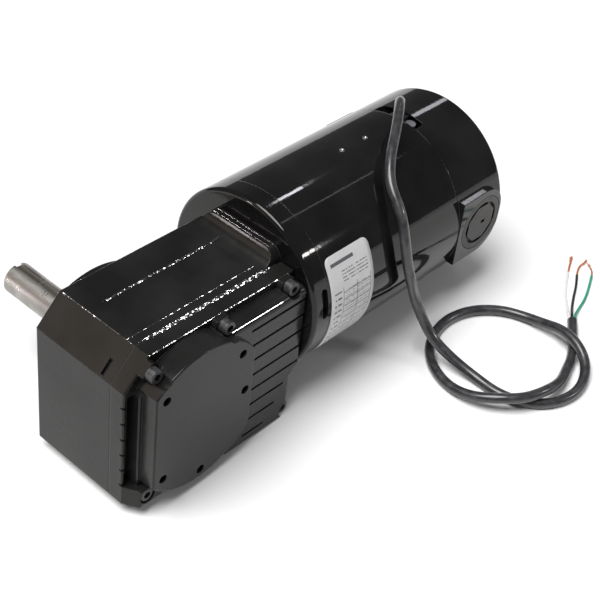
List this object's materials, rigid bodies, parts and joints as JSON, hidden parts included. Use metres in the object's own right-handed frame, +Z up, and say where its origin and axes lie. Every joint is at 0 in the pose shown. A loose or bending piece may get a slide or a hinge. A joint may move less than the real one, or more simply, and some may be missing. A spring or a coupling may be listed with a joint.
{
  "type": "gearmotor",
  "caption": "Right-angle gearmotor: painted gearbox with a keyed output shaft, round brushed DC motor behind it, and a three-wire power cord with bare ends.",
  "frame": {"origin": "on the output shaft's axis, at the output mounting face of the gearbox", "axes": "+Y out along the output shaft, +Z up, +X towards the motor's rear end. The motor's axis tips down by 3.49 degrees towards +X, as the part lies at rest"},
  "size_m": [0.3494, 0.2545, 0.1264],
  "materials": {
    "black_paint": "glossy black enamel over castings and rolled steel, slightly orange-peeled",
    "black_screw": "black oxide screw heads with dark sockets",
    "shaft_steel": "bare ground steel",
    "gear_steel": "oiled cut gear steel",
    "bearing_steel": "polished bearing rings and balls",
    "seal_rubber": "moulded black rubber",
    "gasket": "compressed fibre gasket",
    "bronze": "sintered bronze",
    "magnet": "dark grey ferrite",
    "core_steel": "stacked steel laminations",
    "copper": "bright copper",
    "carbon": "pressed carbon",
    "phenolic": "dark moulded plastic",
    "clamp_plastic": "grey moulded plastic",
    "label": "white printed label, rounded corners",
    "cord_jacket": "dark grey glossy cable jacket",
    "insulation_white": "white wire insulation",
    "insulation_black": "black wire insulation",
    "insulation_green": "green wire insulation"
  },
  "bodies": {
    "casing": {"gearbox_housing": "black_paint", "gearbox_cover": "black_paint", "cover_gasket": "gasket", "cover_screws": "black_screw", "cover_dowels": "shaft_steel", "output_seal": "seal_rubber", "output_bearing_outer_rings": "bearing_steel", "output_bearing_balls": "bearing_steel", "cross_shaft_bushes": "bronze", "motor_shaft_seal": "seal_rubber", "adapter_gasket": "gasket", "front_end_shield": "black_paint", "shield_screws": "black_screw", "motor_shell": "black_paint", "shell_pins": "shaft_steel", "field_magnets": "magnet", "through_bolts": "black_screw", "rear_end_cap": "black_paint", "brush_covers": "black_paint", "brush_holders": "phenolic", "carbon_brushes": "carbon", "brush_springs": "shaft_steel", "motor_bearing_outer_rings": "bearing_steel", "motor_bearing_balls": "bearing_steel", "nameplate": "label", "cord_grommet": "seal_rubber", "lead_clamp": "clamp_plastic", "power_cord": "cord_jacket", "wire_white": "insulation_white", "wire_black": "insulation_black", "wire_green": "insulation_green", "copper_end_white": "copper", "copper_end_black": "copper", "copper_end_green": "copper"},
    "output": {"output_shaft": "shaft_steel", "output_gear": "gear_steel", "gear_key": "shaft_steel", "gear_retaining_ring": "shaft_steel", "output_bearing_inner_rings": "bearing_steel"},
    "cross": {"cross_shaft": "shaft_steel", "cross_shaft_collar": "shaft_steel", "output_pinion": "gear_steel", "worm_wheel": "bronze"},
    "armature": {"armature_shaft": "shaft_steel", "armature_core": "core_steel", "armature_windings": "copper", "commutator": "copper", "worm": "gear_steel", "motor_bearing_inner_rings": "bearing_steel"}
  },
  "joints": [
    {"name": "armature_spin", "type": "hinge", "parent": "casing", "child": "armature", "pos_m": [0.00106, -0.034, 0.01747], "axis": [0.9981, 0, -0.0608], "continuous": true},
    {"name": "cross_shaft_spin", "type": "hinge", "parent": "casing", "child": "cross", "pos_m": [0.04102, -0.034, -0.00901], "axis": [0, 1, 0], "continuous": true},
    {"name": "output_spin", "type": "hinge", "parent": "casing", "child": "output", "pos_m": [0, -0.034, 0], "axis": [0, 1, 0], "continuous": true}
  ],
  "couplings": [
    {"joint": "cross_shaft_spin", "follows": "armature_spin", "ratio": -0.1},
    {"joint": "output_spin", "follows": "armature_spin", "ratio": 0.033333}
  ]
}
